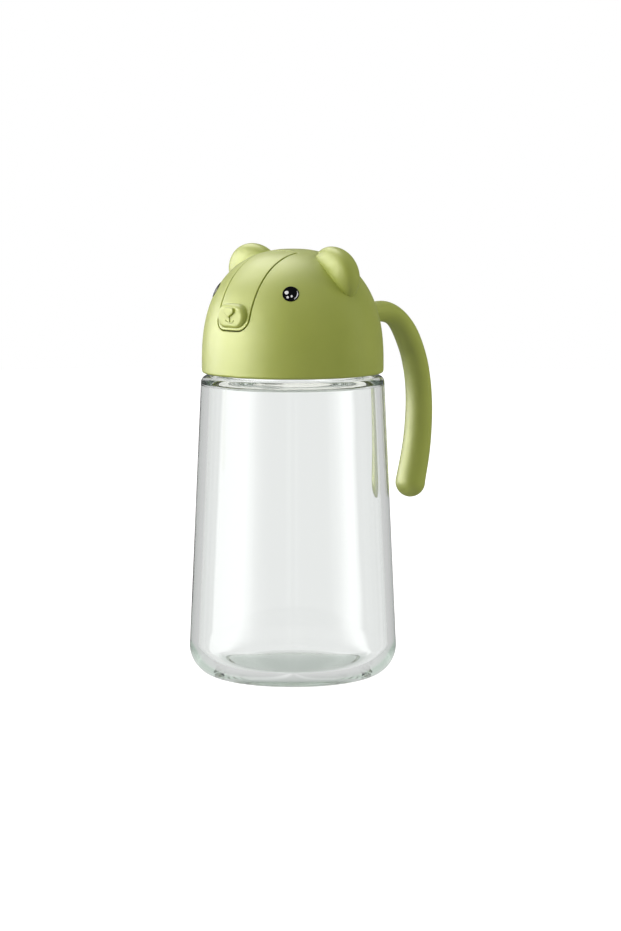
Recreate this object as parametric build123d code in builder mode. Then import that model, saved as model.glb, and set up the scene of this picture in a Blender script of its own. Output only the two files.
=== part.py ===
from build123d import *
import math
import os

# Oil dispenser bottle: a glass body and a screwed-on plastic head with a gravity flap.
# Millimetres. The origin is the centre of the base on the table, Z is up,
# the nose and the spout point along -Y and the handle along +Y.

os.makedirs("parts", exist_ok=True)

# Glass body
glass_foot_radius = 45.6        # where the sloping side would meet the table
glass_top_radius = 39.55        # where the sloping side would meet the shoulder
glass_height = 130.8            # top of the shoulder
glass_wall = 3.6
glass_shoulder = 2.6            # thickness of the shoulder
glass_floor = 5.0
base_corner = 13.0
shoulder_corner = 2.8
foot_inner = 28.6               # inside of the bearing ring under the base
foot_ramp = 1.5                 # width of the slope from the hollow to the bearing ring
push_up = 1.3                   # depth of the hollow under the base
hollow_round = 1.0              # roundings of the outline, from the base up and back down inside
ring_round = 0.8
neck_foot_round = 1.2
lip_round = 1.0
bore_round = 2.0
inner_shoulder = 2.0            # rounding inside the shoulder

# Neck and thread
neck_radius = 31.0
neck_bore = 27.5
neck_top = 146.5
thread_pitch = 4.5
thread_turns = 1.2
thread_depth = 1.8
thread_root = 2.6               # width of a ridge at the wall
thread_crest = 1.2
thread_start = 136.5

# Dome of the head: an arch whose outline is a superellipse
dome_radius = 39.3
dome_rise = 48.9                # height of the arch above its springing line
dome_spring = 136.5             # height of the springing line
dome_power = 2.4
dome_bottom = 132.2
dome_wall = 2.3
rim_round = 1.0

# Deck of the inner cap, inside the head
deck_bottom = 148.0
deck_thickness = 2.0
deck_top = deck_bottom + deck_thickness

# Flap and its hinge
flap_half_width = 9.0
flap_bottom = 152.2
flap_corner = 5.0
flap_gap = 0.5
flap_edge = 0.3                 # rounding of the edges along the gap
hinge_y = -11.3
hinge_drop = 4.1                # depth of the axis below the dome's surface
barrel_radius = 5.5             # more than the depth, so that the flap ends flush behind the axis
pin_radius = 1.25
pin_half_length = 12.4

# Nose boss on the flap
nose_width = 16.0
nose_height = 10.8
nose_corner = 5.3
nose_centre = 158.1
nose_front = 38.6               # distance of the nose's face from the axis
nose_round = 1.9

# Eyes and ears, placed on the dome
eye_radius = 3.5
eye_bearing = 42.7              # degrees round the dome from the nose
eye_height = 168.0
ear_centre = (24.0, 0.4, 174.5)
ear_radius = 12.8
ear_front = 5.6                 # bulge of the ear's face
ear_back = 9.9                  # bulge of the ear's back
ear_yaw = 9.2                   # degrees that an ear turns in towards the nose
ear_tilt = 11.2                 # degrees that an ear looks down

# Spout
spout_mouth = (0.0, -25.5, 165.5)
spout_lean = 35.0               # degrees forward from upright
spout_bore = 4.0
spout_outer = 5.2

# Handle: centre line in the plane X = 0 as (Y, Z), with the tube's radius there
handle_line = [
    (34.0, 155.5),
    (48.0, 156.0),
    (57.5, 155.6),
    (64.8, 153.5),
    (70.4, 148.3),
    (76.1, 139.4),
    (80.2, 127.5),
    (81.8, 112.0),
    (80.5, 96.0),
    (76.2, 77.8),
]
handle_root_radius = 4.5
handle_swell = 0.9              # gain in radius over the bend
handle_end_radius = 6.7
handle_wall = 2.3

# Small dimensions
fit_gap = 0.05                  # radial gap between parts that are fitted together
run_gap = 0.06                  # radial gap of the hinge
above_crown = 200.0             # a level over the whole part, where upright cuts end
standing = (Align.CENTER, Align.CENTER, Align.MIN)


def dome_height(radius, rise, at):
    """Height of a dome's surface at a distance from the axis."""
    return dome_spring + rise * (1 - (at / radius) ** dome_power) ** (1 / dome_power)


def dome_face(radius, rise, bottom):
    """Half section of a dome, to be revolved about Z."""
    steps = 10
    arch = []
    for step in range(steps + 1):
        angle = math.pi / 2 * step / steps
        across = max(math.cos(angle), 0) ** (2 / dome_power)
        up = math.sin(angle) ** (2 / dome_power)
        arch.append((radius * across, dome_spring + rise * up))
    with BuildSketch(Plane.XZ) as face:
        with BuildLine():
            Polyline((0, arch[-1][1]), (0, bottom), (radius, bottom), arch[0])
            Spline(*arch, tangents=((0, 1), (-1, 0)))
        make_face()
    return face.sketch


def strip_face(half_width, bottom, corner, back):
    """Front view of a strip with rounded lower corners, drawn on a plane behind the crown."""
    with BuildSketch(Plane.XZ.offset(-back)) as face:
        with Locations((0, (bottom + above_crown) / 2)):
            RectangleRounded(2 * half_width, above_crown - bottom, corner)
    return face.sketch


def gap_edges(edges, half_width):
    """Edges where a strip cut along the nose line meets the dome's outside."""
    found = ShapeList()
    for edge in edges:
        middle = edge @ 0.5
        reach = math.hypot(middle.X, middle.Y)
        if middle.Y > hinge_y + barrel_radius + flap_gap or middle.Z < dome_bottom + dome_wall:
            continue
        if abs(middle.X) > half_width + fit_gap or reach > dome_radius:
            continue
        if abs(middle.Z - dome_height(dome_radius, dome_rise, reach)) < fit_gap:
            found.append(edge)
    return found


def ring_face(inner, outer, bottom, top):
    """Section of a flat ring, to be revolved about Z."""
    with BuildSketch(Plane.XZ) as face:
        with Locations(((inner + outer) / 2, (bottom + top) / 2)):
            Rectangle(outer - inner, top - bottom)
    return face.sketch


def thread_face(path, depth, root, crest, outward):
    """Section of a thread ridge at the start of its helix, sunk a little into the wall."""
    sunk = 0.4
    sign = 1 if outward else -1
    with BuildSketch(Plane(origin=path @ 0, x_dir=(1, 0, 0), z_dir=path % 0)) as face:
        with BuildLine():
            Polyline(
                (-sign * sunk, -root / 2),
                (sign * depth, -crest / 2),
                (sign * depth, crest / 2),
                (-sign * sunk, root / 2),
                close=True,
            )
        make_face()
    return face.sketch


inner_radius = dome_radius - dome_wall
inner_rise = dome_rise - dome_wall
liner_thickness = 1.2
hinge_z = dome_height(dome_radius, dome_rise, abs(hinge_y)) - hinge_drop
hinge_plane = Plane(origin=(0, hinge_y, hinge_z), x_dir=(0, 1, 0), z_dir=(1, 0, 0))

# Glass bottle
with BuildPart() as glass_bottle:
    with BuildSketch(Plane.XZ) as wall_section:
        taper = (glass_foot_radius - glass_top_radius) / glass_height
        inner_top = glass_height - glass_shoulder
        inner_wide = glass_foot_radius - taper * glass_floor - glass_wall
        inner_narrow = glass_foot_radius - taper * inner_top - glass_wall
        with BuildLine():
            Polyline(
                (0, push_up),
                (foot_inner, push_up),
                (foot_inner + foot_ramp, 0),
                (glass_foot_radius, 0),
                (glass_top_radius, glass_height),
                (neck_radius, glass_height),
                (neck_radius, neck_top),
                (neck_bore, neck_top),
                (neck_bore, inner_top),
                (inner_narrow, inner_top),
                (inner_wide, glass_floor),
                (0, glass_floor),
                close=True,
            )
        make_face()
        rounds = [
            ((foot_inner, push_up), hollow_round),
            ((foot_inner + foot_ramp, 0), ring_round),
            ((glass_foot_radius, 0), base_corner),
            ((glass_top_radius, glass_height), shoulder_corner),
            ((neck_radius, glass_height), neck_foot_round),
            ((neck_radius, neck_top), lip_round),
            ((neck_bore, neck_top), lip_round),
            ((neck_bore, inner_top), bore_round),
            ((inner_narrow, inner_top), inner_shoulder),
            ((inner_wide, glass_floor), base_corner - glass_wall),
        ]
        for place, radius in rounds:
            fillet(vertices().sort_by_distance(place)[0], radius)
    revolve(axis=Axis.Z)
    with BuildLine() as glass_helix:
        Helix(thread_pitch, thread_pitch * thread_turns, neck_radius, center=(0, 0, thread_start))
    sweep(
        thread_face(glass_helix.line, thread_depth, thread_root, thread_crest, True),
        path=glass_helix.line,
        is_frenet=True,
    )
glass_bottle.part.label = "glass_bottle"
export_step(glass_bottle.part, "parts/glass_bottle.step")

# Silicone ring between the glass rim and the deck
plug_outer = 27.0               # ring under the deck that reaches into the neck
plug_inner = 25.4
cap_bore = 33.3
gasket_gap = 0.3
gasket_round = 0.3
with BuildPart() as neck_gasket:
    revolve(
        ring_face(plug_outer + gasket_gap, cap_bore - gasket_gap, neck_top, deck_bottom),
        axis=Axis.Z,
    )
    fillet(neck_gasket.edges().filter_by(GeomType.CIRCLE), gasket_round)
neck_gasket.part.label = "neck_gasket"
export_step(neck_gasket.part, "parts/neck_gasket.step")

# Inner cap: threaded skirt, deck, plug ring, seat for the spout and an air hole
cap_outer = 35.2
cap_bottom = 131.9
flange_radius = 36.0
key_width = 3.0
key_length = 3.0
key_gap = 0.2
plug_depth = 3.0
cap_ridge_depth = 1.7
cap_ridge_root = 1.8
cap_ridge_crest = 0.9
cap_ridge_lift = 0.3            # play of the threads, all on one side
spout_seat_y = -15.4
spout_seat_radius = 6.5
seal_width = 1.6
seal_depth = 0.8
air_hole_y = 17.0
air_hole_radius = 1.2
air_boss_radius = 2.8
air_boss_height = 4.0
drain_place = (10.0, -19.5)     # two small holes that let drips run back
drain_radius = 1.0
through = 20.0                  # length of a cut that goes right through
with BuildPart() as inner_cap:
    revolve(ring_face(cap_bore, cap_outer, cap_bottom, deck_top), axis=Axis.Z)
    revolve(ring_face(0, flange_radius, deck_bottom, deck_top), axis=Axis.Z)
    revolve(ring_face(plug_inner, plug_outer, neck_top - plug_depth, deck_bottom), axis=Axis.Z)
    with BuildLine() as cap_helix:
        Helix(
            thread_pitch,
            thread_pitch * thread_turns,
            cap_bore,
            center=(0, 0, thread_start - thread_pitch / 2 + cap_ridge_lift),
        )
    sweep(
        thread_face(cap_helix.line, cap_ridge_depth, cap_ridge_root, cap_ridge_crest, False),
        path=cap_helix.line,
        is_frenet=True,
    )
    with Locations((0, air_hole_y, deck_top)):
        Cylinder(air_boss_radius, air_boss_height, align=standing)
        Cylinder(air_hole_radius, through, mode=Mode.SUBTRACT)
    with Locations((0, spout_seat_y, deck_bottom)):
        Cylinder(spout_seat_radius, through, mode=Mode.SUBTRACT)
    with Locations((0, spout_seat_y, deck_top)):
        Cylinder(spout_seat_radius + seal_width, 2 * seal_depth, mode=Mode.SUBTRACT)
    for side in (-1, 1):
        with Locations((side * drain_place[0], drain_place[1], deck_bottom)):
            Cylinder(drain_radius, through, mode=Mode.SUBTRACT)
        with Locations((side * flange_radius, 0, deck_bottom)):
            Box(key_length + 3 * key_gap, key_width + 2 * key_gap, through, mode=Mode.SUBTRACT)
inner_cap.part.label = "inner_cap"
export_step(inner_cap.part, "parts/inner_cap.step")

# Silicone ring under the spout's flange
with BuildPart() as spout_seal:
    with BuildSketch(Plane.XY.offset(deck_top - seal_depth)):
        with Locations((0, spout_seat_y)):
            Circle(spout_seat_radius + seal_width - 2 * fit_gap)
            Circle(spout_seat_radius + 2 * fit_gap, mode=Mode.SUBTRACT)
    extrude(amount=seal_depth)
spout_seal.part.label = "spout_seal"
export_step(spout_seal.part, "parts/spout_seal.step")

# Spout: a flanged foot in the deck and a tube that leans towards the nose
lean = math.radians(spout_lean)
spout_direction = Vector(0, -math.sin(lean), math.cos(lean))
mouth = Vector(*spout_mouth)
tube_foot = 151.0
foot_below = 0.8                # reach of the spout's foot below the deck
foot_flange = 1.4               # thickness of the flange on the deck
foot_wall = 1.8                 # wall of the tube where it leaves the elbow
bore_depth = tube_foot - deck_bottom + foot_below    # upright length of the bore, up to where it leans
tube_length = (mouth.Z - tube_foot) / math.cos(lean)
mouth_plane = Plane(origin=mouth, x_dir=(1, 0, 0), z_dir=spout_direction)
foot_plane = Plane(origin=mouth - spout_direction * tube_length, x_dir=(1, 0, 0), z_dir=spout_direction)
with BuildPart() as spout:
    with Locations((0, spout_seat_y, deck_bottom - foot_below)):
        Cylinder(spout_seat_radius - fit_gap, bore_depth, align=standing)
    with Locations((0, spout_seat_y, deck_top)):
        Cylinder(spout_seat_radius + seal_width + 2 * fit_gap, foot_flange, align=standing)
    with Locations(foot_plane.origin):
        Sphere(spout_bore + foot_wall)
    with BuildSketch(foot_plane):
        Circle(spout_bore + foot_wall)
    with BuildSketch(mouth_plane):
        Circle(spout_outer)
    loft()
    with Locations(foot_plane.origin):
        Sphere(spout_bore, mode=Mode.SUBTRACT)
    with BuildSketch(mouth_plane):
        Circle(spout_bore)
    extrude(amount=-tube_length, mode=Mode.SUBTRACT)
    with Locations((0, spout_seat_y, deck_bottom - foot_below)):
        Cylinder(spout_bore, bore_depth, align=standing, mode=Mode.SUBTRACT)
spout.part.label = "spout"
export_step(spout.part, "parts/spout.step")

# Hollow of the head, with what stands in it left out: hinge bosses, handle socket, ledge, bumps and keys
boss_inner = flap_half_width + flap_gap
boss_outer = boss_inner + 3.6
boss_radius = 3.6
boss_root = 10.0                # reach of a boss up into the dome's wall
ledge_radius = 33.8             # inside of the ledge that rests on the deck
ledge_height = 1.6
bump_bearings = (45, 135, 225, 315)
bump_arc = 24
bump_depth = 1.5
bump_fall = 3.4
socket_radius = 5.3
socket_front = 30.6             # distance of the socket's inner end from the axis
handle_z = handle_line[0][1]
socket_plane = Plane(origin=(0, socket_front, handle_z), x_dir=(1, 0, 0), z_dir=(0, 1, 0))
with BuildPart() as head_hollow:
    revolve(dome_face(inner_radius, inner_rise, dome_bottom - 1), axis=Axis.Z)
    for side in (-1, 1):
        middle = side * (boss_inner + boss_outer) / 2
        with BuildSketch(hinge_plane.offset(middle)):
            Circle(boss_radius)
            with Locations((0, boss_root / 2)):
                Rectangle(2 * boss_radius, boss_root)
        extrude(amount=(boss_outer - boss_inner) / 2, both=True, mode=Mode.SUBTRACT)
        with Locations((side * flange_radius, 0, deck_bottom)):
            Box(key_length, key_width, 2 * deck_thickness + 1, mode=Mode.SUBTRACT)
    with BuildSketch(socket_plane):
        Circle(socket_radius)
    extrude(amount=dome_radius - socket_front, mode=Mode.SUBTRACT)
    revolve(
        ring_face(ledge_radius, dome_radius, deck_top, deck_top + ledge_height),
        axis=Axis.Z,
        mode=Mode.SUBTRACT,
    )
    with BuildSketch(Plane.XZ) as bump_section:
        with BuildLine():
            Polyline(
                (inner_radius - bump_depth, deck_bottom - 2 * fit_gap),
                (inner_radius + bump_depth, deck_bottom - 2 * fit_gap),
                (inner_radius + bump_depth, deck_bottom - bump_fall),
                (inner_radius, deck_bottom - bump_fall),
                close=True,
            )
        make_face()
    for bearing in bump_bearings:
        bump = revolve(bump_section.sketch, axis=Axis.Z, revolution_arc=bump_arc, mode=Mode.PRIVATE)
        add(bump.rotate(Axis.Z, bearing - bump_arc / 2), mode=Mode.SUBTRACT)

# Head shell: dome with both ears, the slot for the flap, the hinge seats and the eye seats
slot_half_width = flap_half_width + flap_gap
strip_reach = 70.0              # far enough forward to pass the nose
hinge_room = barrel_radius + flap_gap
seat_throat = 2.1               # opening that the hinge pin snaps through
seat_end = 0.1                  # play at each end of the pin
socket_floor = 2.0
screw_radius = 1.5
screw_play = 0.2
tenon_radius = 3.8
tenon_room = 12.0               # length of the seat cut for the tenon
eye_stem = 1.2
eye_stem_length = 3.2
eye_sunk = 1.0
eye_turn = math.radians(eye_bearing)
eye_rise = (eye_height - dome_spring) / dome_rise
eye_reach = (1 - eye_rise ** dome_power) ** (1 / dome_power)
eye_slope = math.atan2(
    eye_rise ** (dome_power - 1) / dome_rise,
    eye_reach ** (dome_power - 1) / dome_radius,
)


def eye_plane(side):
    """Plane touching the dome at an eye, facing out."""
    reach = dome_radius * eye_reach
    return Plane(
        origin=(side * reach * math.sin(eye_turn), -reach * math.cos(eye_turn), eye_height),
        x_dir=(math.cos(eye_turn), side * math.sin(eye_turn), 0),
        z_dir=(
            side * math.sin(eye_turn) * math.cos(eye_slope),
            -math.cos(eye_turn) * math.cos(eye_slope),
            math.sin(eye_slope),
        ),
    )


def ear_plane(side):
    """Plane through an ear's centre whose Y is the way that the ear looks."""
    yaw = math.radians(ear_yaw)
    tilt = math.radians(ear_tilt)
    across = Vector(math.cos(yaw), -side * math.sin(yaw), 0)
    forward = Vector(
        -side * math.sin(yaw) * math.cos(tilt),
        -math.cos(yaw) * math.cos(tilt),
        -math.sin(tilt),
    )
    origin = (side * ear_centre[0], ear_centre[1], ear_centre[2])
    return Plane(origin=origin, x_dir=across, z_dir=across.cross(forward))


def ear_outline():
    """Half outline of an ear from its back to its face: two quarter ellipses of unlike depth."""
    steps = 12
    points = []
    for step in range(steps + 1):
        angle = math.pi * step / steps - math.pi / 2
        depth = ear_front if angle > 0 else ear_back
        points.append((ear_radius * max(math.cos(angle), 0), depth * math.sin(angle)))
    return points


with BuildPart() as eye_seats:
    for side in (-1, 1):
        seat = eye_plane(side)
        with BuildSketch(seat.offset(-eye_sunk)):
            Circle(eye_radius + fit_gap)
        extrude(amount=2 * eye_sunk)
        with BuildSketch(seat):
            Circle(eye_stem + fit_gap)
        extrude(amount=-2 * eye_stem_length)

with BuildPart() as head_shell:
    revolve(dome_face(dome_radius, dome_rise, dome_bottom), axis=Axis.Z)
    fillet(head_shell.edges().sort_by(Axis.Z)[0], rim_round)
    for side in (-1, 1):
        ear = ear_plane(side)
        with BuildSketch(ear):
            with BuildLine():
                Spline(*ear_outline(), tangents=((1, 0), (-1, 0)))
                Line((0, ear_front), (0, -ear_back))
            make_face()
        revolve(axis=Axis(ear.origin, ear.y_dir))
    add(head_hollow.part, mode=Mode.SUBTRACT)
    extrude(
        strip_face(slot_half_width, flap_bottom - flap_gap, flap_corner + flap_gap, hinge_y),
        amount=strip_reach,
        mode=Mode.SUBTRACT,
    )
    with BuildSketch(hinge_plane):
        Circle(hinge_room)
    extrude(amount=slot_half_width, both=True, mode=Mode.SUBTRACT)
    fillet(gap_edges(head_shell.edges(), slot_half_width), flap_edge)
    with BuildSketch(hinge_plane):
        Circle(pin_radius + fit_gap / 2)
        with Locations((0, -boss_radius)):
            Rectangle(seat_throat, 2 * boss_radius)
    extrude(amount=pin_half_length + seat_end, both=True, mode=Mode.SUBTRACT)
    with BuildSketch(socket_plane.offset(socket_floor)):
        Circle(tenon_radius + fit_gap)
    extrude(amount=tenon_room, mode=Mode.SUBTRACT)
    with BuildSketch(socket_plane):
        Circle(screw_radius + screw_play)
    extrude(amount=socket_floor, mode=Mode.SUBTRACT)
    add(eye_seats.part, mode=Mode.SUBTRACT)
head_shell.part.label = "head_shell"
export_step(head_shell.part, "parts/head_shell.step")

# Eyes: domed inserts with a stem through the shell
eye_bulge = 0.45
eye_curve = (eye_radius ** 2 + eye_bulge ** 2) / (2 * eye_bulge)
eye_arc = math.degrees(math.asin(eye_radius / eye_curve))
for side, name in ((-1, "eye_right"), (1, "eye_left")):
    seat = eye_plane(side)
    with BuildPart() as eye:
        with BuildSketch(Plane(origin=seat.origin, x_dir=seat.x_dir, z_dir=seat.x_dir.cross(seat.z_dir))):
            with BuildLine():
                Polyline(
                    (0, eye_bulge),
                    (0, -eye_stem_length),
                    (eye_stem, -eye_stem_length),
                    (eye_stem, -eye_sunk),
                    (eye_radius, -eye_sunk),
                    (eye_radius, 0.0),
                )
                CenterArc((0, eye_bulge - eye_curve), eye_curve, 90 - eye_arc, eye_arc)
            make_face()
        revolve(axis=Axis(seat.origin, seat.z_dir))
    eye.part.label = name
    export_step(eye.part, "parts/" + name + ".step")

# Hinge pin
pin_chamfer = 0.25
with BuildPart() as hinge_pin:
    with BuildSketch(hinge_plane):
        Circle(pin_radius)
    extrude(amount=pin_half_length, both=True)
    chamfer(hinge_pin.edges().filter_by(GeomType.CIRCLE), pin_chamfer)
hinge_pin.part.label = "hinge_pin"
export_step(hinge_pin.part, "parts/hinge_pin.step")

# Flap: a strip of the dome with the hinge barrel, the hollow nose and its raised marks
weight_width = 10.1
weight_height = 6.1
weight_corner = 1.9
weight_front = nose_front - 1.6
weight_chamfer = 0.3
nose_depth = 6.0
pad_lobe = 1.4                  # radius of the upper lobes of the nose's pad
pad_lobe_place = (1.75, 2.5)
pad_tip = 0.6                   # radius of its lower end
pad_tip_place = 0.3
pad_height = 1.0
pad_round = 0.5
line_width = 0.6
line_span = (0.0, -2.5)
line_height = 0.4
smile_half_width = 2.3
smile_ends = -1.7
smile_middle = -2.7
smile_half_line = 0.25
smile_height = 0.3
nose_plane = Plane(origin=(0, -nose_front, nose_centre), x_dir=(1, 0, 0), z_dir=(0, -1, 0))
with BuildPart() as nose_boss:
    with BuildSketch(nose_plane.offset(-nose_depth)):
        RectangleRounded(nose_width, nose_height, nose_corner)
    extrude(amount=nose_depth)
    fillet(nose_boss.faces().sort_by(Axis.Y)[0].edges(), nose_round)
    revolve(dome_face(inner_radius, inner_rise, dome_bottom - 1), axis=Axis.Z, mode=Mode.SUBTRACT)

with BuildPart() as nose_pad:
    with BuildSketch(nose_plane.offset(-pad_height)):
        with Locations((-pad_lobe_place[0], pad_lobe_place[1]), pad_lobe_place):
            Circle(pad_lobe)
        with Locations((0, pad_tip_place)):
            Circle(pad_tip)
        make_hull()
    extrude(amount=2 * pad_height)
    fillet(nose_pad.faces().sort_by(Axis.Y)[0].edges(), pad_round)

with BuildPart() as flap_barrel:
    with BuildSketch(hinge_plane):
        Circle(barrel_radius)
    extrude(amount=flap_half_width, both=True)
    revolve(dome_face(dome_radius, dome_rise, dome_bottom), axis=Axis.Z, mode=Mode.INTERSECT)

with BuildPart() as flap_lid:
    revolve(dome_face(dome_radius, dome_rise, dome_bottom), axis=Axis.Z)
    extrude(
        strip_face(flap_half_width, flap_bottom, flap_corner, hinge_y),
        amount=strip_reach,
        mode=Mode.INTERSECT,
    )
    revolve(dome_face(inner_radius, inner_rise, dome_bottom - 1), axis=Axis.Z, mode=Mode.SUBTRACT)
    add(flap_barrel.part)
    fillet(gap_edges(flap_lid.edges(), flap_half_width), flap_edge)
    add(nose_boss.part)
    with BuildSketch(hinge_plane):
        Circle(pin_radius + run_gap)
    extrude(amount=flap_half_width, both=True, mode=Mode.SUBTRACT)
    with BuildSketch(nose_plane.offset(weight_front - nose_front + 2 * fit_gap)):
        RectangleRounded(weight_width + 4 * fit_gap, weight_height + 4 * fit_gap, weight_corner + fit_gap)
    extrude(amount=-nose_depth, mode=Mode.SUBTRACT)
    with BuildSketch(nose_plane):
        with Locations((0, (line_span[0] + line_span[1]) / 2)):
            Rectangle(line_width, line_span[0] - line_span[1])
    extrude(amount=line_height)
    with BuildSketch(nose_plane):
        with BuildLine():
            smile = ThreePointArc(
                (-smile_half_width, smile_ends),
                (0, smile_middle),
                (smile_half_width, smile_ends),
            )
            offset(smile, amount=smile_half_line)
        make_face()
    extrude(amount=smile_height)
    add(nose_pad.part)
flap_lid.part.label = "flap_lid"
export_step(flap_lid.part, "parts/flap_lid.step")

# Steel slug in the hollow nose, which makes the flap hang
with BuildPart() as nose_weight:
    with BuildSketch(nose_plane.offset(weight_front - nose_front)):
        RectangleRounded(weight_width, weight_height, weight_corner)
    extrude(amount=-nose_depth)
    chamfer(nose_weight.faces().sort_by(Axis.Y)[0].edges(), weight_chamfer)
    revolve(
        dome_face(inner_radius + fit_gap, inner_rise + fit_gap, dome_bottom),
        axis=Axis.Z,
        mode=Mode.SUBTRACT,
    )
nose_weight.part.label = "nose_weight"
export_step(nose_weight.part, "parts/nose_weight.step")

# Liner: a plate inside the flap that closes the nose and carries the stopper
liner_radius = inner_radius - liner_thickness
liner_rise = inner_rise - liner_thickness
liner_back = -17.2              # where the liner ends, short of the barrel
liner_inset = 1.4               # from the flap's sides
liner_rise_inset = 1.8          # from the flap's lower end
stem_radius = 2.0
stem_room = 12.0                # cut or column long enough to pass the liner
with BuildPart() as flap_liner:
    revolve(dome_face(inner_radius, inner_rise, dome_bottom), axis=Axis.Z)
    revolve(dome_face(liner_radius, liner_rise, dome_bottom - 1), axis=Axis.Z, mode=Mode.SUBTRACT)
    extrude(
        strip_face(
            flap_half_width - liner_inset,
            flap_bottom + liner_rise_inset,
            flap_corner - 1,
            liner_back,
        ),
        amount=strip_reach,
        mode=Mode.INTERSECT,
    )
    with BuildSketch(mouth_plane):
        Circle(stem_radius + fit_gap)
    extrude(amount=stem_room, mode=Mode.SUBTRACT)
flap_liner.part.label = "flap_liner"
export_step(flap_liner.part, "parts/flap_liner.step")

# Stopper: a plug and a sealing disc on a column that fills the space up to the liner
lip_gap = 0.1
plug_reach = 1.2                # depth of the plug in the bore
plug_side_gap = 0.45            # room for the plug's path, which is an arc
plug_taper = 0.45
disc_thickness = 1.0
disc_overhang = 0.2
column_step = 1.0               # the column is narrower than the spout's lip by this
with BuildPart() as pour_stopper:
    with BuildSketch(mouth_plane.offset(lip_gap)):
        Circle(spout_outer + disc_overhang)
    extrude(amount=disc_thickness)
    with BuildSketch(mouth_plane.offset(lip_gap)):
        Circle(spout_outer - column_step)
    extrude(amount=stem_room)
    revolve(dome_face(liner_radius, liner_rise, dome_bottom), axis=Axis.Z, mode=Mode.INTERSECT)
    with BuildSketch(mouth_plane.offset(-plug_reach)):
        Circle(spout_bore - plug_side_gap - plug_taper)
    with BuildSketch(mouth_plane.offset(lip_gap)):
        Circle(spout_bore - plug_side_gap)
    loft()
    with BuildSketch(mouth_plane.offset(lip_gap)):
        Circle(stem_radius)
    stem = extrude(amount=stem_room, mode=Mode.PRIVATE)
    under_flap = revolve(dome_face(inner_radius, inner_rise, dome_bottom), axis=Axis.Z, mode=Mode.PRIVATE)
    add(stem.intersect(under_flap))
pour_stopper.part.label = "pour_stopper"
export_step(pour_stopper.part, "parts/pour_stopper.step")

# Handle: a hollow tapering arm whose root plugs into the dome
hollow_from = 0.2               # share of the centre line that stays solid at the root
outside_steps = 12
hollow_steps = 9
bend_share = 0.25               # share of the centre line over which the tube swells
thread_hold = 0.02              # play of the screw in the handle
tenon_length = 8.0
screw_bore_length = 11.0
with BuildLine(Plane.YZ) as handle_path:
    Spline(*handle_line, tangents=((1, 0), (-0.26, -0.97)))


def handle_radius(share):
    """Radius of the handle's tube at a share of its centre line: it swells over the bend, then widens."""
    past_root = max(share - hollow_from, 0)
    bend = min(past_root / bend_share, 1)
    widening = handle_end_radius - handle_root_radius - handle_swell
    return (
        handle_root_radius
        + handle_swell * bend ** 2 * (3 - 2 * bend)
        + widening * (past_root / (1 - hollow_from)) ** 1.5
    )


def handle_section(share, radius):
    """Round section of the handle, square to its centre line."""
    line = handle_path.line
    with BuildSketch(Plane(origin=line @ share, x_dir=(1, 0, 0), z_dir=line % share)) as face:
        Circle(radius)
    return face.sketch


with BuildPart() as handle:
    outside = []
    for step in range(outside_steps + 1):
        share = step / outside_steps
        outside.append(handle_section(share, handle_radius(share)))
    loft(outside)
    inside = []
    for step in range(hollow_steps + 1):
        share = hollow_from + (1 - hollow_from) * step / hollow_steps
        inside.append(handle_section(share, handle_radius(share) - handle_wall))
    loft(inside, mode=Mode.SUBTRACT)
    revolve(dome_face(dome_radius, dome_rise, dome_bottom), axis=Axis.Z, mode=Mode.SUBTRACT)
    with BuildSketch(socket_plane.offset(socket_floor + fit_gap)):
        Circle(tenon_radius)
    extrude(amount=tenon_length)
    with BuildSketch(socket_plane.offset(socket_floor)):
        Circle(screw_radius + thread_hold)
    extrude(amount=screw_bore_length, mode=Mode.SUBTRACT)
handle.part.label = "handle"
export_step(handle.part, "parts/handle.step")

# Plug that closes the lower end of the handle
end = handle_path.line @ 1
end_direction = handle_path.line % 1
end_plane = Plane(origin=end, x_dir=(1, 0, 0), z_dir=end_direction)
spigot_gap = 0.3
spigot_length = 6.0
with BuildPart() as handle_end_plug:
    with BuildSketch(Plane(origin=end, x_dir=end_direction, z_dir=(1, 0, 0))):
        with BuildLine():
            Line((0, 0), (0, handle_end_radius))
            CenterArc((0, 0), handle_end_radius, 90, -90)
            Line((handle_end_radius, 0), (0, 0))
        make_face()
    revolve(axis=Axis(end, end_direction))
    with BuildSketch(end_plane):
        Circle(handle_end_radius - handle_wall - spigot_gap)
    extrude(amount=-spigot_length)
handle_end_plug.part.label = "handle_end_plug"
export_step(handle_end_plug.part, "parts/handle_end_plug.step")

# Screw that holds the handle's root, driven through the open slot
screw_head_radius = 2.8
screw_head_height = 2.0
screw_length = 12.0
screw_head_round = 0.8
cross_length = 3.0
cross_width = 0.7
cross_depth = 1.1
with BuildPart() as handle_screw:
    with BuildSketch(socket_plane.offset(-screw_head_height)):
        Circle(screw_head_radius)
    extrude(amount=screw_head_height)
    with BuildSketch(socket_plane):
        Circle(screw_radius)
    extrude(amount=screw_length)
    fillet(handle_screw.faces().sort_by(Axis.Y)[0].edges(), screw_head_round)
    with BuildSketch(socket_plane.offset(-screw_head_height)):
        Rectangle(cross_length, cross_width)
        Rectangle(cross_width, cross_length)
    extrude(amount=cross_depth, mode=Mode.SUBTRACT)
handle_screw.part.label = "handle_screw"
export_step(handle_screw.part, "parts/handle_screw.step")
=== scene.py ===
import math

import bmesh
import bpy
from mathutils import Matrix, Vector


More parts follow.
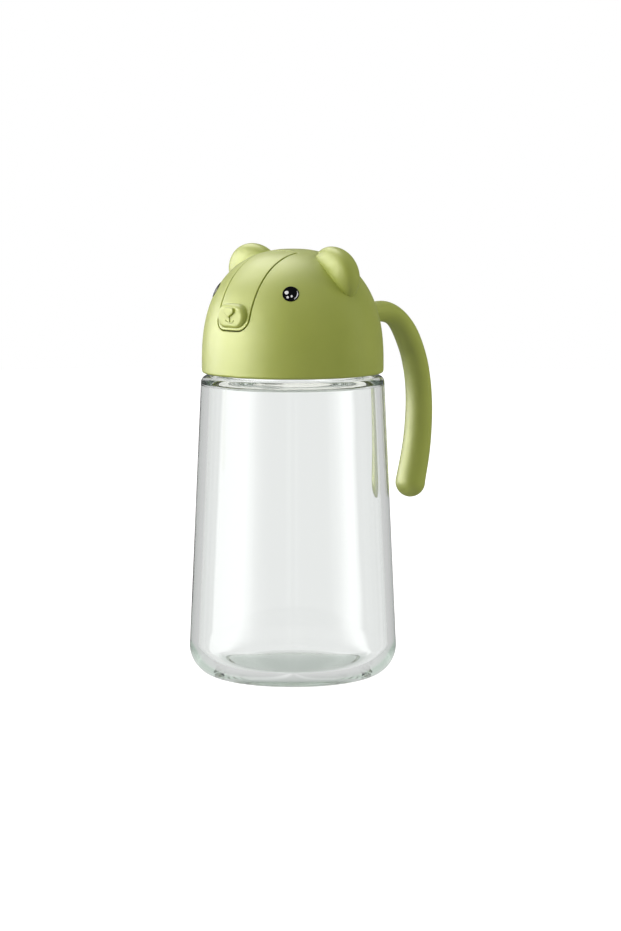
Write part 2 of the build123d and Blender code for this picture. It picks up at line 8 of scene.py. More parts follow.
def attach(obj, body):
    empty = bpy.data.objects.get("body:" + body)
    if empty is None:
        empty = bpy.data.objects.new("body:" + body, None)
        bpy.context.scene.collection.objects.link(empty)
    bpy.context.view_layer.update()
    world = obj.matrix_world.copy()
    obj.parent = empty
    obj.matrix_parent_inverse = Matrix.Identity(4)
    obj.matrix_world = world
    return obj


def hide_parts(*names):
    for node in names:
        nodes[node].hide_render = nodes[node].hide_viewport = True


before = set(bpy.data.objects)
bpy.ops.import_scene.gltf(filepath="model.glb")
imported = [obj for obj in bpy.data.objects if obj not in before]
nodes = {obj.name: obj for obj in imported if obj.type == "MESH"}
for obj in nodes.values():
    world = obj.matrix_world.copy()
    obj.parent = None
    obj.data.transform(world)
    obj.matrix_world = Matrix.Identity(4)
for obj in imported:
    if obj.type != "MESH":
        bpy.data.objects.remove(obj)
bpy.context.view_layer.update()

scene = bpy.context.scene
mm = 0.001


# camera, at the photograph's viewing angle
photoView = {
    "bearing": 43.8,        # degrees round from the nose towards the left eye
    "lookDown": 6.53,       # degrees
    "distance": 1.389,
    "aimRight": 0.00768,    # the bottle stands a little left of the middle
    "aimHeight": 0.0915,
    "lens": 123.74,
    "sensor": 36,
    "clip": (0.05, 50),
}


def placeCamera(view):
    bearing = math.radians(view["bearing"])
    down = math.radians(view["lookDown"])
    right = Vector((math.cos(bearing), math.sin(bearing), 0))
    ahead = Vector((-math.sin(bearing), math.cos(bearing), 0)) * math.cos(down)
    ahead.z = -math.sin(down)
    aim = right * view["aimRight"] + Vector((0, 0, view["aimHeight"]))
    data = bpy.data.cameras.new("photoCamera")
    data.lens = view["lens"]
    data.sensor_width = view["sensor"]
    data.clip_start, data.clip_end = view["clip"]
    camera = bpy.data.objects.new("photoCamera", data)
    scene.collection.objects.link(camera)
    turned = Matrix((right, right.cross(ahead), -ahead)).transposed().to_4x4()
    turned.translation = aim - ahead * view["distance"]
    camera.matrix_world = turned
    scene.camera = camera


placeCamera(photoView)
print("camera placed")


# small helpers for node trees and meshes
def addNode(tree, kind, wires=None, **settings):
    node = tree.nodes.new(kind)
    for name, value in settings.items():
        setattr(node, name, value)
    for name, value in (wires or {}).items():
        if isinstance(value, bpy.types.NodeSocket):
            tree.links.new(value, node.inputs[name])
        else:
            node.inputs[name].default_value = value
    return node


def maths(tree, operation, first, second=0.0, third=0.0):
    wires = {0: first, 1: second, 2: third}
    return addNode(tree, "ShaderNodeMath", wires, operation=operation).outputs[0]


def mixNumbers(tree, factor, first, second):
    return addNode(tree, "ShaderNodeMix", {0: factor, 2: first, 3: second}).outputs[0]


def smoothStep(tree, value, start, end, low=0.0, high=1.0):
    wires = {0: value, 1: start, 2: end, 3: low, 4: high}
    node = addNode(tree, "ShaderNodeMapRange", wires, interpolation_type="SMOOTHSTEP")
    return node.outputs[0]


def newMaterial(name):
    material = bpy.data.materials.new(name)
    material.use_nodes = True
    tree = material.node_tree
    tree.nodes.clear()
    shader = addNode(tree, "ShaderNodeBsdfPrincipled")
    out = addNode(tree, "ShaderNodeOutputMaterial", {"Surface": shader.outputs[0]})
    return material, tree, shader, out


def noiseOn(tree, scale, detail=2.0, stretch=(1, 1, 1)):
    place = addNode(tree, "ShaderNodeTexCoord").outputs["Object"]
    if stretch != (1, 1, 1):
        place = addNode(tree, "ShaderNodeMapping", {"Vector": place, "Scale": stretch}).outputs[0]
    wires = {"Vector": place, "Scale": scale, "Detail": detail}
    return addNode(tree, "ShaderNodeTexNoise", wires).outputs[0]


# noise keeps near its middle, so this part of it is stretched from low to high
def spread(tree, noise, low, high):
    wires = {0: noise, 1: 0.3, 2: 0.7, 3: low, 4: high}
    return addNode(tree, "ShaderNodeMapRange", wires).outputs[0]


def mixColours(tree, factor, first, second):
    wires = {0: factor, 6: first, 7: second}
    return addNode(tree, "ShaderNodeMix", wires, data_type="RGBA").outputs[2]


def bumpFrom(tree, height, strength, distance):
    wires = {"Height": height, "Strength": strength, "Distance": distance}
    return addNode(tree, "ShaderNodeBump", wires).outputs[0]


def wireUp(tree, shader, wires):
    for name, source in wires.items():
        tree.links.new(source, shader.inputs[name])


# moulded plastic or rubber: faint clouds in colour and gloss, and a fine grain
def plastic(name, look):
    material, tree, shader, out = newMaterial(name)
    cloud = spread(tree, noiseOn(tree, look["cloudScale"], 3), 0, 1)
    finer = noiseOn(tree, look["cloudScale"] * 3)
    grain = noiseOn(tree, look["grainScale"], 2)
    wireUp(tree, shader, {
        "Base Color": mixColours(tree, cloud, look["shade"] + (1,), look["light"] + (1,)),
        "Roughness": spread(tree, finer, look["smooth"], look["rough"]),
        "Normal": bumpFrom(tree, grain, look["grainStrength"], look["grainDepth"]),
    })
    shader.inputs["IOR"].default_value = look["ior"]
    shader.inputs["Specular IOR Level"].default_value = look.get("shine", 0.5)
    shader.inputs["Sheen Weight"].default_value = look.get("sheen", 0)
    shader.inputs["Sheen Roughness"].default_value = look.get("sheenRough", 0.5)
    return material


greenLook = {
    "shade": (0.352, 0.408, 0.048),
    "light": (0.378, 0.432, 0.058),
    "sheen": 0.05,
    "sheenRough": 0.6,
    "cloudScale": 60,
    "grainScale": 2600,
    "grainStrength": 0.12,
    "grainDepth": 0.00008,
    "smooth": 0.44,
    "rough": 0.50,
    "ior": 1.6,
    "shine": 0.8,
}
whiteLook = {
    "shade": (0.80, 0.80, 0.78),
    "light": (0.86, 0.86, 0.84),
    "cloudScale": 90,
    "grainScale": 2200,
    "grainStrength": 0.1,
    "grainDepth": 0.00006,
    "smooth": 0.32,
    "rough": 0.42,
    "ior": 1.5,
}
siliconeLook = {
    "shade": (0.66, 0.69, 0.66),
    "light": (0.72, 0.74, 0.72),
    "cloudScale": 120,
    "grainScale": 1800,
    "grainStrength": 0.06,
    "grainDepth": 0.00006,
    "smooth": 0.48,
    "rough": 0.6,
    "ior": 1.42,
}
eyeLook = {
    "shade": (0.002, 0.002, 0.003),
    "light": (0.004, 0.004, 0.005),
    "cloudScale": 400,
    "grainScale": 1500,
    "grainStrength": 0.03,
    "grainDepth": 0.00002,
    "smooth": 0.06,
    "rough": 0.12,
    "ior": 1.3,
}
inkLook = {
    "shade": (0.80, 0.80, 0.80),
    "light": (0.88, 0.88, 0.88),
    "cloudScale": 900,
    "grainScale": 5000,
    "grainStrength": 0.05,
    "grainDepth": 0.00001,
    "smooth": 0.3,
    "rough": 0.4,
    "ior": 1.5,
}
greenPlastic = plastic("greenPlastic", greenLook)
whitePlastic = plastic("whitePlastic", whiteLook)
silicone = plastic("silicone", siliconeLook)
eyeBlack = plastic("eyeBlack", eyeLook)
eyeInk = plastic("eyeInk", inkLook)

steelLook = {
    "shade": (0.60, 0.60, 0.60),
    "light": (0.74, 0.74, 0.73),
    "lineScale": 900,
    "stretch": (0.05, 1, 1),    # turning marks run round the pins, which lie along X
    "lineStrength": 0.08,
    "lineDepth": 0.00003,
    "smooth": 0.24,
    "rough": 0.38,
}


def turnedSteel(name, look):
    material, tree, shader, out = newMaterial(name)
    lines = noiseOn(tree, look["lineScale"], 3, look["stretch"])
    cloud = spread(tree, lines, 0, 1)
    wireUp(tree, shader, {
        "Base Color": mixColours(tree, cloud, look["shade"] + (1,), look["light"] + (1,)),
        "Roughness": spread(tree, lines, look["smooth"], look["rough"]),
        "Normal": bumpFrom(tree, lines, look["lineStrength"], look["lineDepth"]),
    })
    shader.inputs["Metallic"].default_value = 1
    return material


steel = turnedSteel("turnedSteel", steelLook)

glassLook = {
    "tint": (0.99, 1.0, 0.995, 1),
    "ior": 1.5,
    "depthTint": (0.84, 0.93, 0.885, 1),    # colour that the thick glass takes on
    "depth": 5.0,
    "waveScale": 34,
    "waveStretch": (1, 1, 0.45),            # the waves of blown glass are longer up and down
    "wave": 0.10,
    "waveDepth": 0.0006,
    "haze": 0.015,
}


def bottleGlass(name, look):
    material, tree, shader, out = newMaterial(name)
    wave = noiseOn(tree, look["waveScale"], 2, look["waveStretch"])
    finer = noiseOn(tree, look["waveScale"] * 6)
    wireUp(tree, shader, {
        "Normal": bumpFrom(tree, wave, look["wave"], look["waveDepth"]),
        "Roughness": spread(tree, finer, 0.0, look["haze"]),
    })
    shader.inputs["Base Color"].default_value = look["tint"]
    shader.inputs["IOR"].default_value = look["ior"]
    shader.inputs["Transmission Weight"].default_value = 1
    wires = {"Color": look["depthTint"], "Density": look["depth"]}
    inside = addNode(tree, "ShaderNodeVolumeAbsorption", wires)
    tree.links.new(inside.outputs[0], out.inputs["Volume"])
    return material


clearGlass = bottleGlass("clearGlass", glassLook)
print("materials made")


# geometry node trees, baked to plain meshes
def newTree(name, sizes):
    tree = bpy.data.node_groups.new(name, "GeometryNodeTree")
    tree.interface.new_socket("Geometry", in_out="INPUT", socket_type="NodeSocketGeometry")
    tree.interface.new_socket("Geometry", in_out="OUTPUT", socket_type="NodeSocketGeometry")
    kinds = {
        int: "NodeSocketInt",
        float: "NodeSocketFloat",
        bpy.types.Material: "NodeSocketMaterial",
    }
    for label, value in sizes.items():
        tree.interface.new_socket(label, in_out="INPUT", socket_type=kinds[type(value)])
    return tree, addNode(tree, "NodeGroupInput").outputs


def bakeTree(source, tree, sizes, name):
    modifier = source.modifiers.new(name, "NODES")
    modifier.node_group = tree
    for item in tree.interface.items_tree:
        if item.in_out == "INPUT" and item.name in sizes:
            modifier[item.identifier] = sizes[item.name]
    bpy.context.view_layer.update()
    graph = bpy.context.evaluated_depsgraph_get()
    mesh = bpy.data.meshes.new_from_object(source.evaluated_get(graph), depsgraph=graph)
    mesh.name = name
    piece = bpy.data.objects.new(name, mesh)
    scene.collection.objects.link(piece)
    bpy.data.objects.remove(source)
    return piece


def polyline(name, points):
    data = bpy.data.curves.new(name, "CURVE")
    data.dimensions = "3D"
    line = data.splines.new("POLY")
    line.points.add(len(points) - 1)
    for spot, (x, y) in zip(line.points, points):
        spot.co = (x, y, 0, 1)
    drawn = bpy.data.objects.new(name, data)
    scene.collection.objects.link(drawn)
    return drawn


# corners given as (x, y, rounding) become an outline with arcs of arcStep degrees,
# and every run longer than longRun gets a point at each end, this far in
def roundedOutline(corners, arcStep=6, longRun=4.0, support=0.7):
    points = []
    for index, (x, y, radius) in enumerate(corners):
        here = Vector((x, y))
        if not radius:
            arc = [here]
        else:
            back = (Vector(corners[index - 1][:2]) - here).normalized()
            ahead = (Vector(corners[index + 1][:2]) - here).normalized()
            half = back.angle(ahead) / 2
            centre = here + (back + ahead).normalized() * radius / math.sin(half)
            start = here + back * radius / math.tan(half) - centre
            end = here + ahead * radius / math.tan(half) - centre
            sweep = math.copysign(math.pi - 2 * half, start.cross(end))
            steps = max(4, math.ceil(abs(math.degrees(sweep)) / arcStep))
            arc = []
            for step in range(steps + 1):
                turned = start.copy()
                turned.rotate(Matrix.Rotation(sweep * step / steps, 2))
                arc.append(centre + turned)
        if points and (arc[0] - points[-1]).length > longRun:
            run = (arc[0] - points[-1]).normalized() * support
            points += [points[-1] + run, arc[0] - run]
        points += arc
    return points


bottleSizes = {
    "footRadius": 45.6,
    "topRadius": 39.55,
    "height": 130.8,
    "wall": 3.6,
    "shoulder": 2.6,
    "innerShoulder": 2.0,
    "floor": 5.0,
    "baseCorner": 13.0,
    "shoulderCorner": 2.8,
    "hollowRadius": 28.6,
    "hollowDepth": 1.3,
    "hollowRound": 1.0,
    "ringSlope": 1.5,
    "ringRound": 0.8,
    "neckRadius": 31.0,
    "neckBore": 27.5,
    "neckTop": 146.5,
    "neckFoot": 1.2,
    "lipRound": 1.0,
    "boreRound": 2.0,
    "core": 10.0,           # radius of the circle that the outline is carried round
}
bottleNodes = {
    "Segments": 168,
    "Core Radius": bottleSizes["core"] * mm,
    "Thread Radius": bottleSizes["neckRadius"] * mm,
    "Thread Turns": 1.2,
    "Thread Climb": 5.4 * mm,
    "Thread Start": 136.5 * mm,
    "Ridge Height": 2.2 * mm,
    "Ridge Foot": 2.8 * mm,
    "Ridge Crest": 1.2 * mm,
    "Ridge Sunk": 0.4 * mm,
    "Stipple Ring": 29.6 * mm,
    "Stipple Level": 0.72 * mm,
    "Stipple Count": 118,
    "Stipple Size": 0.42 * mm,
    "Bead Segments": 8,
    "Bead Rings": 5,
    "Merge Distance": 0.002 * mm,
    "Smooth Below": math.radians(32),
    "Glass": clearGlass,
}


def bottleOutline(size):
    slope = (size["footRadius"] - size["topRadius"]) / size["height"]
    innerTop = size["height"] - size["shoulder"]
    wide = size["footRadius"] - slope * size["floor"] - size["wall"]
    narrow = size["footRadius"] - slope * innerTop - size["wall"]
    corners = [
        (0, size["hollowDepth"], 0),
        (size["hollowRadius"], size["hollowDepth"], size["hollowRound"]),
        (size["hollowRadius"] + size["ringSlope"], 0, size["ringRound"]),
        (size["footRadius"], 0, size["baseCorner"]),
        (size["topRadius"], size["height"], size["shoulderCorner"]),
        (size["neckRadius"], size["height"], size["neckFoot"]),
        (size["neckRadius"], size["neckTop"], size["lipRound"]),
        (size["neckBore"], size["neckTop"], size["lipRound"]),
        (size["neckBore"], innerTop, size["boreRound"]),
        (narrow, innerTop, size["innerShoulder"]),
        (wide, size["floor"], size["baseCorner"] - size["wall"]),
        (0, size["floor"], 0),
    ]
    return [((p.x - size["core"]) * mm, -p.y * mm) for p in roundedOutline(corners)]


# moves a shape along one axis, and turns it where a Rotation is given
def shifted(tree, shape, axis, distance, **turn):
    move = addNode(tree, "ShaderNodeCombineXYZ", {axis: distance}).outputs[0]
    wires = {"Geometry": shape, "Translation": move, **turn}
    return addNode(tree, "GeometryNodeTransform", wires).outputs[0]


# the outline carried round a circle, with its faces turned outwards
def turnedBody(tree, given):
    circle = addNode(tree, "GeometryNodeCurvePrimitiveCircle", {
        "Resolution": given["Segments"],
        "Radius": given["Core Radius"],
    })
    turned = addNode(tree, "GeometryNodeCurveToMesh", {
        "Curve": circle.outputs[0],
        "Profile Curve": given["Geometry"],
    })
    closed = addNode(tree, "GeometryNodeMergeByDistance", {
        "Geometry": turned.outputs[0],
        "Distance": given["Merge Distance"],
    })
    return addNode(tree, "GeometryNodeFlipFaces", {"Mesh": closed.outputs[0]}).outputs[0]


# ridge of the thread, a trapezoid carried round the neck
def threadRidge(tree, given):
    climb = addNode(tree, "GeometryNodeCurveSpiral", {
        "Resolution": given["Segments"],
        "Rotations": given["Thread Turns"],
        "Start Radius": given["Thread Radius"],
        "End Radius": given["Thread Radius"],
        "Height": given["Thread Climb"],
        "Reverse": True,
    })
    upright = addNode(tree, "GeometryNodeSetCurveNormal", {"Curve": climb.outputs[0]}, mode="Z_UP")
    ridge = addNode(tree, "GeometryNodeCurvePrimitiveQuadrilateral", {
        "Height": given["Ridge Height"],
        "Bottom Width": given["Ridge Foot"],
        "Top Width": given["Ridge Crest"],
        "Offset": 0.0,
    }, mode="TRAPEZOID")
    half = maths(tree, "MULTIPLY", given["Ridge Height"], 0.5)
    middle = maths(tree, "SUBTRACT", half, given["Ridge Sunk"])
    sideways = {"Rotation": (0, 0, -math.pi / 2)}
    return addNode(tree, "GeometryNodeCurveToMesh", {
        "Curve": shifted(tree, upright.outputs[0], "Z", given["Thread Start"]),
        "Profile Curve": shifted(tree, ridge.outputs[0], "X", middle, **sideways),
        "Fill Caps": True,
    }).outputs[0]


# ring of small beads on the underside
def stippleRing(tree, given):
    ring = addNode(tree, "GeometryNodeCurvePrimitiveCircle", {
        "Resolution": given["Stipple Count"],
        "Radius": given["Stipple Ring"],
    })
    bead = addNode(tree, "GeometryNodeMeshUVSphere", {
        "Segments": given["Bead Segments"],
        "Rings": given["Bead Rings"],
        "Radius": given["Stipple Size"],
    })
    beads = addNode(tree, "GeometryNodeInstanceOnPoints", {
        "Points": shifted(tree, ring.outputs[0], "Z", given["Stipple Level"]),
        "Instance": bead.outputs[0],
    })
    return addNode(tree, "GeometryNodeRealizeInstances", {"Geometry": beads.outputs[0]}).outputs[0]


def bottleTree(sizes):
    tree, given = newTree("blownBottle", sizes)
    joined = addNode(tree, "GeometryNodeMeshBoolean", operation="UNION", solver="MANIFOLD")
    for part in (turnedBody(tree, given), threadRidge(tree, given), stippleRing(tree, given)):
        tree.links.new(part, joined.inputs[1])
    bend = addNode(tree, "GeometryNodeInputMeshEdgeAngle")
    wires = {0: bend.outputs[0], 1: given["Smooth Below"]}
    soft = addNode(tree, "FunctionNodeCompare", wires, operation="LESS_THAN")
    faces = addNode(tree, "GeometryNodeSetShadeSmooth", {"Geometry": joined.outputs[0]})
    wires = {"Geometry": faces.outputs[0], "Shade Smooth": soft.outputs[0]}
    edges = addNode(tree, "GeometryNodeSetShadeSmooth", wires, domain="EDGE")
    real = addNode(tree, "GeometryNodeRealizeInstances", {"Geometry": edges.outputs[0]})
    wires = {"Geometry": real.outputs[0], "Material": given["Glass"]}
    done = addNode(tree, "GeometryNodeSetMaterial", wires)
    addNode(tree, "NodeGroupOutput", {0: done.outputs[0]})
    return tree


outline = polyline("bottleOutline", bottleOutline(bottleSizes))
bottle = bakeTree(outline, bottleTree(bottleNodes), bottleNodes, "glassBottle")
print("bottle turned", len(bottle.data.polygons), "faces")
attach(bottle, "bottle")
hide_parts("glass_bottle")


# eyes: printed highlights on the domed inserts
eyePrint = {
    "radius": 3.5,
    "bearing": 42.7,
    "height": 168.0,
    "bulge": 0.45,
    "inkFrom": 0.004,       # the print stands this far off the eye
    "inkTo": 0.03,
    "dots": [((-0.50, 0.13), 0.24), ((-0.37, -0.49), 0.15), ((0.11, -0.38), 0.135)],
    "moonRadius": 0.82,     # shares of the eye's radius, like the dots
    "moonFrom": 28,         # degrees, from the eye's right side up
    "moonTo": -62,
    "moonWidth": 0.12,
    "moonTip": 0.04,        # keeps the ends from closing
    "moonTaper": 0.7,
    "domeRadius": 39.3,
    "domeRise": 48.9,
    "domeSpring": 136.5,
    "domePower": 2.4,
}


# middle of an eye on the dome, with its directions across, up and out
def eyeFrame(side, size):
    turn = math.radians(size["bearing"])
    power = size["domePower"]
    rise = (size["height"] - size["domeSpring"]) / size["domeRise"]
    reach = (1 - rise ** power) ** (1 / power)
    slopeUp = rise ** (power - 1) / size["domeRise"]
    slopeOut = reach ** (power - 1) / size["domeRadius"]
    slope = math.atan2(slopeUp, slopeOut)
    across = Vector((math.cos(turn), side * math.sin(turn), 0))
    outward = Vector((side * math.sin(turn), -math.cos(turn), 0))
    out = outward * math.cos(slope)
    out.z = math.sin(slope)
    centre = outward * size["domeRadius"] * reach
    centre.z = size["height"]
    return centre, across, out.cross(across), out


# thin closed patch of print, from a grid of places on the eye
def addPatch(mesh, rows, toPoint, levels):
    low, high = [
        [[mesh.verts.new(toPoint(u, v, level) * mm) for u, v in row] for row in rows]
        for level in levels
    ]
    lastRow, lastColumn = len(rows) - 1, len(rows[0]) - 1
    for sheet, step in ((high, 1), (low, -1)):
        for r in range(lastRow):
            for c in range(lastColumn):
                corners = [sheet[r][c], sheet[r][c + 1], sheet[r + 1][c + 1], sheet[r + 1][c]]
                mesh.faces.new(corners[::step])
    rim = [(0, c) for c in range(lastColumn)]
    rim += [(r, lastColumn) for r in range(lastRow)]
    rim += [(lastRow, c) for c in range(lastColumn, 0, -1)]
    rim += [(r, 0) for r in range(lastRow, 0, -1)]
    for (r, c), (r2, c2) in zip(rim, rim[1:] + rim[:1]):
        mesh.faces.new([low[r][c], low[r2][c2], high[r2][c2], high[r][c]])


# a square grid pushed out to a disc
def discRows(u, v, radius, count=12):
    steps = [-1 + 2 * step / count for step in range(count + 1)]
    return [
        [
            (u + radius * a * math.sqrt(1 - b * b / 2), v + radius * b * math.sqrt(1 - a * a / 2))
            for b in steps
        ]
        for a in steps
    ]


# crescent along the eye's edge, thin at both ends
def moonRows(size, count=28):
    rows = []
    for row in range(count + 1):
        share = row / count
        angle = math.radians(size["moonFrom"] + (size["moonTo"] - size["moonFrom"]) * share)
        full = max(math.sin(math.pi * share), size["moonTip"]) ** size["moonTaper"]
        half = size["moonWidth"] / 2 * full
        reaches = [size["moonRadius"] + k * half for k in (-1, 0, 1)]
        rows.append([(reach * math.cos(angle), reach * math.sin(angle)) for reach in reaches])
    return rows


def printEye(side, name, size):
    centre, across, upward, out = eyeFrame(side, size)
    curve = (size["radius"] ** 2 + size["bulge"] ** 2) / (2 * size["bulge"])

    def toPoint(u, v, raised):
        x, y = u * size["radius"], v * size["radius"]
        level = math.sqrt(curve ** 2 - x * x - y * y) - curve + size["bulge"] + raised
        return centre + across * x + upward * y + out * level

    shapes = bmesh.new()
    levels = (size["inkFrom"], size["inkTo"])
    for (u, v), radius in size["dots"]:
        addPatch(shapes, discRows(u, v, radius), toPoint, levels)
    addPatch(shapes, moonRows(size), toPoint, levels)
    bmesh.ops.recalc_face_normals(shapes, faces=shapes.faces)
    mesh = bpy.data.meshes.new(name)
    shapes.to_mesh(mesh)
    shapes.free()
    mesh.materials.append(eyeInk)
    piece = bpy.data.objects.new(name, mesh)
    scene.collection.objects.link(piece)
    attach(piece, "head")


printEye(1, "eyePrintLeft", eyePrint)
printEye(-1, "eyePrintRight", eyePrint)
print("eyes printed")


# the other pieces keep their solids' shapes and get a finish
finishes = {
    "head_shell": greenPlastic,
    "flap_lid": greenPlastic,
    "handle": greenPlastic,
    "handle_end_plug": greenPlastic,
    "inner_cap": whitePlastic,
    "spout": whitePlastic,
    "flap_liner": whitePlastic,
    "neck_gasket": silicone,
    "spout_seal": silicone,
    "pour_stopper": silicone,
    "eye_left": eyeBlack,
    "eye_right": eyeBlack,
    "hinge_pin": steel,
    "nose_weight": steel,
    "handle_screw": steel,
    "glass_bottle": clearGlass,
}
for name, finish in finishes.items():
    for place in nodes[name].material_slots:
        place.material = finish
print("finishes set")


# studio: pale floor, plain world and soft lamps
studio = {
    "floorRadius": 1.6,
    "floorDrop": 0.05 * mm,
    "floorGrey": 0.60,
    "floorSpeck": 0.01,
    "speckScale": 300,
    "floorLift": 0.80,      # what the camera sees of the floor beyond its own light
    "nearGloss": 0.70,      # painted light: what reflections show of the floor beside the bottle
    "farGloss": 0.14,       # and further out, also painted light
    "nearRadius": 0.05,
    "farRadius": 0.10,
    "footShade": 0.40,      # painted shadow: what the glass shows of the floor under the base
    "footTint": (0.90, 1.0, 0.92, 1),
    "footRadius": 0.0248,
    "footFade": 0.0403,     # radius at which that shade has faded out
    "skyTop": 0.80,
    "skySide": 0.08,
    "skyTopFrom": 0.9,      # height, as a share, above which the sky is at its brightest
    "studioGrey": 0.14,     # what gloss shows between the lamps
    "cards": 6.0,           # white cards seen through the glass, spaced evenly
    "cardBearing": 133.8,   # degrees, as are the card's shift, width and softness
    "cardShift": 2.0,
    "cardWidth": 7.3,       # half the width
    "cardSoft": 0.7,
    "cardLight": 1.12,
    "creaseWidth": 2.6,     # greyer middle of a card
    "creaseSoft": 1.3,
    "creaseLight": 0.87,
    "betweenLight": 0.86,   # between two cards
    "paintedEdgeShade": 0.80,      # painted shade: share that is left along the glass's own edges
    "edgeTurns": 2.5,       # a ray with fewer passes than this has met only one wall
    "paintedDeepShade": 0.72,      # painted shade: share that is left after a long way round inside the glass
    "deepTint": (0.89, 1.0, 0.91, 1),
    "deepTurns": 7.5,
}
white = (1, 1, 1, 1)


# 1 on each card and 0 between them, with a soft edge
def cardPart(tree, around, cards, middle, halfWidth, soft):
    phase = maths(tree, "MULTIPLY_ADD", around, cards, -cards * math.radians(middle))
    wave = maths(tree, "COSINE", phase)
    outer = math.cos(cards * math.radians(halfWidth + soft))
    inner = math.cos(cards * math.radians(halfWidth - soft))
    return smoothStep(tree, wave, outer, inner)


# brightness behind the glass: grey with white cards, a little greyer in the middle of each, with
# painted shade along the glass's own edges and after a long way round inside it
def throughGlass(tree, place, rays, look):
    parts = addNode(tree, "ShaderNodeSeparateXYZ", {0: place}).outputs
    around = maths(tree, "ARCTAN2", parts[1], parts[0])
    middle = look["cardBearing"]
    moved = middle + look["cardShift"]
    card = cardPart(tree, around, look["cards"], moved, look["cardWidth"], look["cardSoft"])
    crease = cardPart(tree, around, look["cards"], middle, look["creaseWidth"], look["creaseSoft"])
    lit = mixNumbers(tree, crease, look["cardLight"], look["creaseLight"])
    level = mixNumbers(tree, card, look["betweenLight"], lit)
    # painted shade: rays that met only one wall, or went a long way round inside the glass, see
    # the world dimmer
    shallow = maths(tree, "LESS_THAN", rays["Transmission Depth"], look["edgeTurns"])
    dim = mixNumbers(tree, shallow, 1.0, look["paintedEdgeShade"])
    deep = maths(tree, "GREATER_THAN", rays["Ray Depth"], look["deepTurns"])
    dull = mixNumbers(tree, deep, dim, look["paintedDeepShade"])
    return maths(tree, "MULTIPLY", level, dull), mixColours(tree, deep, white, look["deepTint"])


def lightWorld(look):
    world = bpy.data.worlds.new("studioWorld")
    scene.world = world
    world.use_nodes = True
    tree = world.node_tree
    tree.nodes.clear()
    rays = addNode(tree, "ShaderNodeLightPath").outputs
    place = addNode(tree, "ShaderNodeTexCoord").outputs["Generated"]
    height = addNode(tree, "ShaderNodeSeparateXYZ", {0: place}).outputs[2]
    wires = {0: height, 1: 0.0, 2: look["skyTopFrom"], 3: look["skySide"], 4: look["skyTop"]}
    sky = addNode(tree, "ShaderNodeMapRange", wires).outputs[0]
    glossy = mixNumbers(tree, rays["Is Glossy Ray"], sky, look["studioGrey"])
    level, tint = throughGlass(tree, place, rays, look)
    seen = mixNumbers(tree, rays["Is Transmission Ray"], glossy, level)
    colour = mixColours(tree, rays["Is Transmission Ray"], white, tint)
    shown = mixNumbers(tree, rays["Is Camera Ray"], seen, 1.0)
    back = addNode(tree, "ShaderNodeBackground", {"Color": colour, "Strength": shown})
    addNode(tree, "ShaderNodeOutputWorld", {0: back.outputs[0]})


def glow(tree, colour, strength):
    wires = {"Color": colour, "Strength": strength}
    return addNode(tree, "ShaderNodeEmission", wires).outputs[0]


def mixShaders(tree, factor, first, second):
    return addNode(tree, "ShaderNodeMixShader", {0: factor, 1: first, 2: second}).outputs[0]


# the floor is clear for rays that come through the glass, except under the base, where they see a
# painted shadow; reflections see a painted glow
def paintFloor(look):
    material = bpy.data.materials.new("paleFloor")
    material.use_nodes = True
    tree = material.node_tree
    tree.nodes.clear()
    rays = addNode(tree, "ShaderNodeLightPath").outputs
    place = addNode(tree, "ShaderNodeTexCoord").outputs["Object"]
    away = addNode(tree, "ShaderNodeVectorMath", {0: place}, operation="LENGTH").outputs["Value"]

    grey, speck = look["floorGrey"], look["floorSpeck"]
    dark = (grey - speck, grey - speck, grey - speck, 1)
    light = (grey + speck, grey + speck, grey, 1)
    pale = mixColours(tree, noiseOn(tree, look["speckScale"], 3), dark, light)
    paint = addNode(tree, "ShaderNodeBsdfDiffuse", {"Color": pale}).outputs[0]
    lift = glow(tree, white, maths(tree, "MULTIPLY", rays["Is Camera Ray"], look["floorLift"]))
    lit = addNode(tree, "ShaderNodeAddShader", {0: paint, 1: lift}).outputs[0]

    # painted light: reflections see the floor as a white glow, bright beside the bottle and dim
    # further out
    radii, levels = (look["nearRadius"], look["farRadius"]), (look["nearGloss"], look["farGloss"])
    paintedGlossGlow = glow(tree, white, smoothStep(tree, away, *radii, *levels))
    plain = mixShaders(tree, rays["Is Glossy Ray"], lit, paintedGlossGlow)

    # painted shadow: under the base, rays through the glass see a fixed grey glow instead of the
    # floor
    under = smoothStep(tree, away, look["footFade"], look["footRadius"])
    clear = addNode(tree, "ShaderNodeBsdfTransparent", {"Color": white}).outputs[0]
    through = mixShaders(tree, under, clear, glow(tree, look["footTint"], look["footShade"]))
    both = mixShaders(tree, rays["Is Transmission Ray"], plain, through)
    addNode(tree, "ShaderNodeOutputMaterial", {0: both})
    return material


def layFloor(look):
    disc = bmesh.new()
    bmesh.ops.create_circle(disc, cap_ends=True, segments=96, radius=look["floorRadius"])
    bmesh.ops.translate(disc, verts=disc.verts, vec=(0, 0, -look["floorDrop"]))
    mesh = bpy.data.meshes.new("studioFloor")
    disc.to_mesh(mesh)
    disc.free()
    mesh.materials.append(paintFloor(look))
    floor = bpy.data.objects.new("studioFloor", mesh)
    scene.collection.objects.link(floor)
    return floor


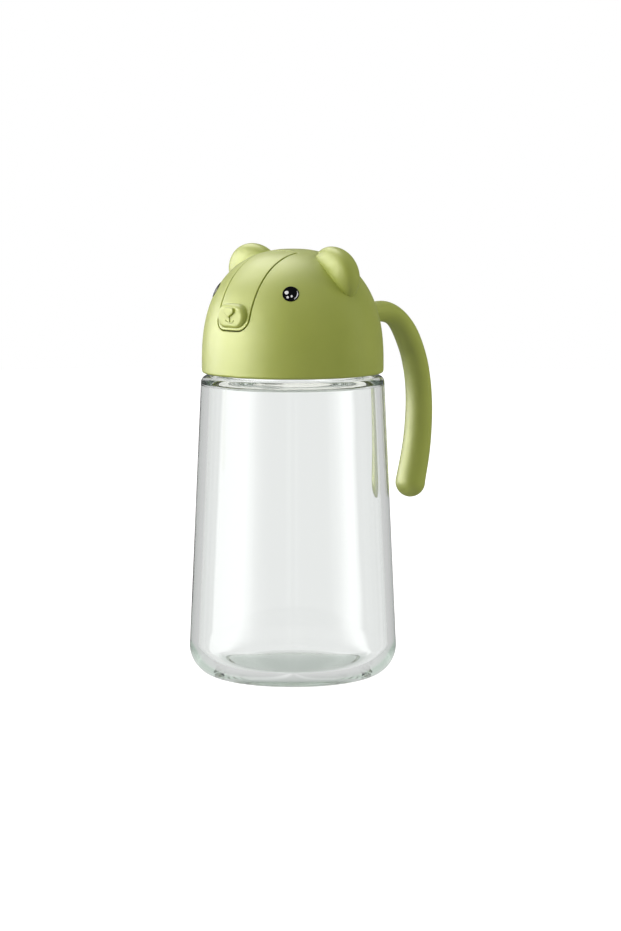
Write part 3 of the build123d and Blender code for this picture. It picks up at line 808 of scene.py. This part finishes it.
lampAim = Vector((0, 0, 0.1))
lampWhite = (1.0, 0.975, 0.955)
lampSizes = {
    "keyLamp": {
        "bearing": -16,
        "height": 0.55,
        "reach": 1.15,
        "wide": 0.98,
        "tall": 1.3,
        "power": 10.4,
        "tint": lampWhite,
        "lights": True,
        "shines": False,
    },
    "glowLamp": {           # seen in the gloss of the plastic only
        "bearing": -46,
        "height": 0.27,
        "reach": 1.0,
        "wide": 1.7,
        "tall": 0.65,
        "power": 22,
        "tint": lampWhite,
        "lights": False,
        "shines": True,
    },
    "topGlow": {
        "bearing": -95,
        "height": 1.15,
        "reach": 0.55,
        "wide": 1.0,
        "tall": 1.1,
        "power": 15,
        "tint": lampWhite,
        "lights": False,
        "shines": True,
    },
    "sideLamp": {
        "bearing": 138,
        "height": 0.35,
        "reach": 1.3,
        "wide": 0.35,
        "tall": 1.0,
        "power": 5.5,
        "tint": (1.0, 1.0, 1.0),
        "lights": True,
        "shines": False,
    },
    "capLamp": {            # from under the table, for the white cap seen through the rim
        "bearing": 0,
        "height": -0.25,
        "reach": 0.0,
        "wide": 0.6,
        "tall": 0.6,
        "power": 2.1,
        "tint": (1.0, 0.985, 0.955),
        "lights": True,
        "shines": False,
        "only": ("inner_cap", "neck_gasket"),
    },
}


def gather(name, pieces, state="EXCLUDE"):
    group = bpy.data.collections.new(name)
    for piece in pieces:
        group.objects.link(piece)
    for place in group.collection_objects:
        place.light_linking.link_state = state
    return group


def hangLamps(lamps, floor):
    clear = gather("lampsShineThrough", [bottle, floor])
    dull = gather("withoutGlow", [bottle, nodes["eye_left"], nodes["eye_right"]])
    for name, lamp in lamps.items():
        bearing = math.radians(lamp["bearing"])
        data = bpy.data.lights.new(name, "AREA")
        data.shape = "RECTANGLE"
        data.size = lamp["wide"]
        data.size_y = lamp["tall"]
        data.energy = lamp["power"]
        data.color = lamp["tint"]
        light = bpy.data.objects.new(name, data)
        scene.collection.objects.link(light)
        outward = Vector((math.sin(bearing), -math.cos(bearing), 0))
        light.location = outward * lamp["reach"] + Vector((0, 0, lamp["height"]))
        light.rotation_euler = (lampAim - light.location).to_track_quat("-Z", "Y").to_euler()
        light.visible_camera = False
        light.visible_transmission = False
        light.visible_diffuse = lamp["lights"]
        light.visible_glossy = lamp["shines"]
        light.light_linking.blocker_collection = clear
        if not lamp["lights"]:
            light.light_linking.receiver_collection = dull
        if "only" in lamp:
            lit = gather(name, [nodes[piece] for piece in lamp["only"]], "INCLUDE")
            light.light_linking.receiver_collection = lit


lightWorld(studio)
hangLamps(lampSizes, layFloor(studio))
glassBounces = 32           # light goes round inside the thick glass
scene.view_settings.view_transform = "Standard"
scene.cycles.max_bounces = glassBounces
scene.cycles.transmission_bounces = glassBounces
scene.cycles.glossy_bounces = glassBounces
print("studio lit")

bpy.context.view_layer.update()
